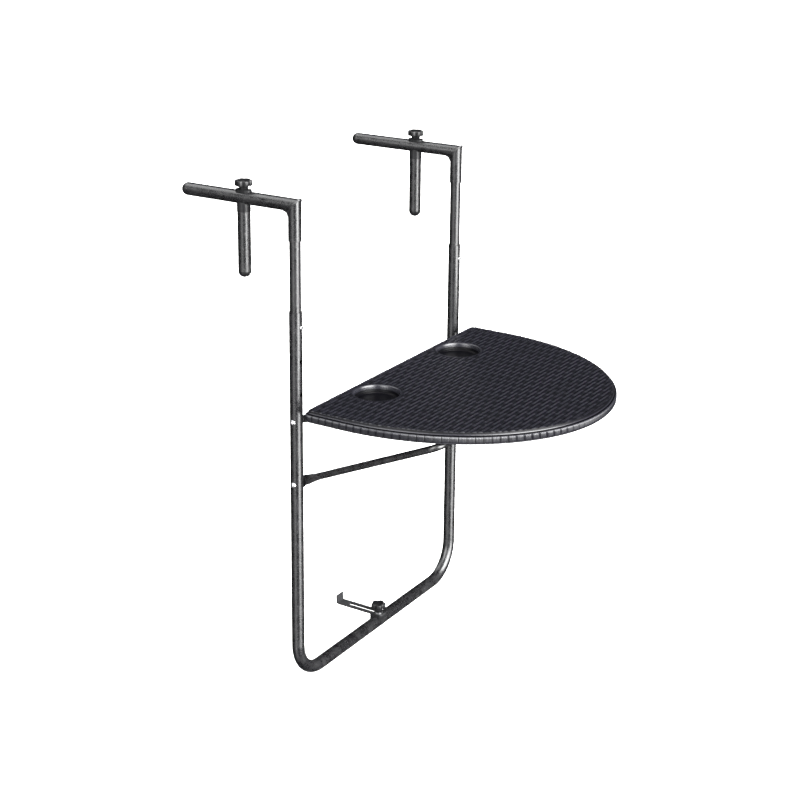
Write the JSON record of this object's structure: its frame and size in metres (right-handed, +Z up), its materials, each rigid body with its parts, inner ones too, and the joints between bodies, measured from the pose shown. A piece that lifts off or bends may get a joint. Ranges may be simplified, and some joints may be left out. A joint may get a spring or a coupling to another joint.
{
  "type": "folding balcony railing table",
  "caption": "Folding D-shaped balcony table with cup wells that hangs from a railing on height-adjustable hooks with clamping pegs, held level by a swinging prop.",
  "frame": {"origin": "midway between the two hook arms, on the axis plane of the uprights, at the level of the arm undersides, where the rail bears", "axes": "+X from the left upright to the right upright as seen by someone at the table facing the railing, +Y over the railing along the hook arms, +Z up; the top stands out towards -Y"},
  "size_m": [0.566, 0.665, 0.8904],
  "materials": {
    "frame_coat": "dark grey hammered powder coat on steel tube",
    "top_plastic": "moulded plastic with a woven rattan pattern, satin blue-black",
    "black_plastic": "satin black moulded plastic",
    "zinc": "bright zinc plated steel"
  },
  "bodies": {
    "frame": {"u_frame": "frame_coat", "table_rivets": "zinc", "prop_rivets": "zinc", "table_washers": "zinc", "prop_spacers": "black_plastic", "brace_rivet_nut": "zinc", "brace_saddle": "black_plastic", "brace_washer": "zinc"},
    "table": {"tabletop": "top_plastic", "left_hinge_bracket": "frame_coat", "right_hinge_bracket": "frame_coat", "bracket_screws": "zinc", "prop_catches": "black_plastic", "catch_screws": "zinc"},
    "prop": {"prop": "frame_coat"},
    "brace": {"brace_bar": "frame_coat"},
    "brace_knob": {"brace_knob": "black_plastic", "brace_screw": "zinc"},
    "left_hook": {"left_hook": "frame_coat", "left_inner_tube": "frame_coat", "left_arm_cap": "black_plastic"},
    "left_button": {"left_snap_button": "zinc"},
    "left_peg": {"left_peg_tube": "frame_coat", "left_peg_saddle": "black_plastic", "left_peg_cap": "black_plastic", "left_peg_nut": "zinc", "left_slot_cover": "black_plastic"},
    "left_knob": {"left_clamp_knob": "black_plastic", "left_clamp_screw": "zinc"},
    "right_hook": {"right_hook": "frame_coat", "right_inner_tube": "frame_coat", "right_arm_cap": "black_plastic"},
    "right_button": {"right_snap_button": "zinc"},
    "right_peg": {"right_peg_tube": "frame_coat", "right_peg_saddle": "black_plastic", "right_peg_cap": "black_plastic", "right_peg_nut": "zinc", "right_slot_cover": "black_plastic"},
    "right_knob": {"right_clamp_knob": "black_plastic", "right_clamp_screw": "zinc"}
  },
  "joints": [
    {"name": "table_fold", "type": "hinge", "parent": "frame", "child": "table", "pos_m": [0, 0, -0.3588], "axis": [1, 0, 0], "range_deg": [0, 90]},
    {"name": "prop_swing", "type": "hinge", "parent": "frame", "child": "prop", "pos_m": [0, 0, -0.471], "axis": [1, 0, 0], "range_deg": [0, 113.88]},
    {"name": "brace_slide", "type": "slide", "parent": "frame", "child": "brace", "axis": [0, 1, 0], "range_m": [-0.062, 0]},
    {"name": "brace_knob_turn", "type": "hinge", "parent": "frame", "child": "brace_knob", "pos_m": [0, 0, -0.81], "axis": [0, 0, 1], "continuous": true},
    {"name": "left_height", "type": "slide", "parent": "frame", "child": "left_hook", "axis": [0, 0, 1], "range_m": [-0.116, 0], "deforming": ["left_snap_button"]},
    {"name": "left_button_press", "type": "slide", "parent": "left_hook", "child": "left_button", "axis": [0, 1, 0], "range_m": [0, 0.0033], "stiffness_N_per_m": 3000, "deforming": ["left_snap_button"]},
    {"name": "left_peg_slide", "type": "slide", "parent": "left_hook", "child": "left_peg", "axis": [0, 1, 0], "range_m": [-0.054, 0.094]},
    {"name": "left_knob_turn", "type": "hinge", "parent": "left_peg", "child": "left_knob", "pos_m": [-0.26, 0.102, 0.03], "axis": [0, 0, 1], "continuous": true},
    {"name": "right_height", "type": "slide", "parent": "frame", "child": "right_hook", "axis": [0, 0, 1], "range_m": [-0.116, 0], "deforming": ["right_snap_button"]},
    {"name": "right_button_press", "type": "slide", "parent": "right_hook", "child": "right_button", "axis": [0, 1, 0], "range_m": [0, 0.0033], "stiffness_N_per_m": 3000, "deforming": ["right_snap_button"]},
    {"name": "right_peg_slide", "type": "slide", "parent": "right_hook", "child": "right_peg", "axis": [0, 1, 0], "range_m": [-0.04, 0.108]},
    {"name": "right_knob_turn", "type": "hinge", "parent": "right_peg", "child": "right_knob", "pos_m": [0.26, 0.088, 0.03], "axis": [0, 0, 1], "continuous": true}
  ],
  "couplings": [
    {"joint": "prop_swing", "follows": "table_fold", "ratio": 1.2653}
  ]
}
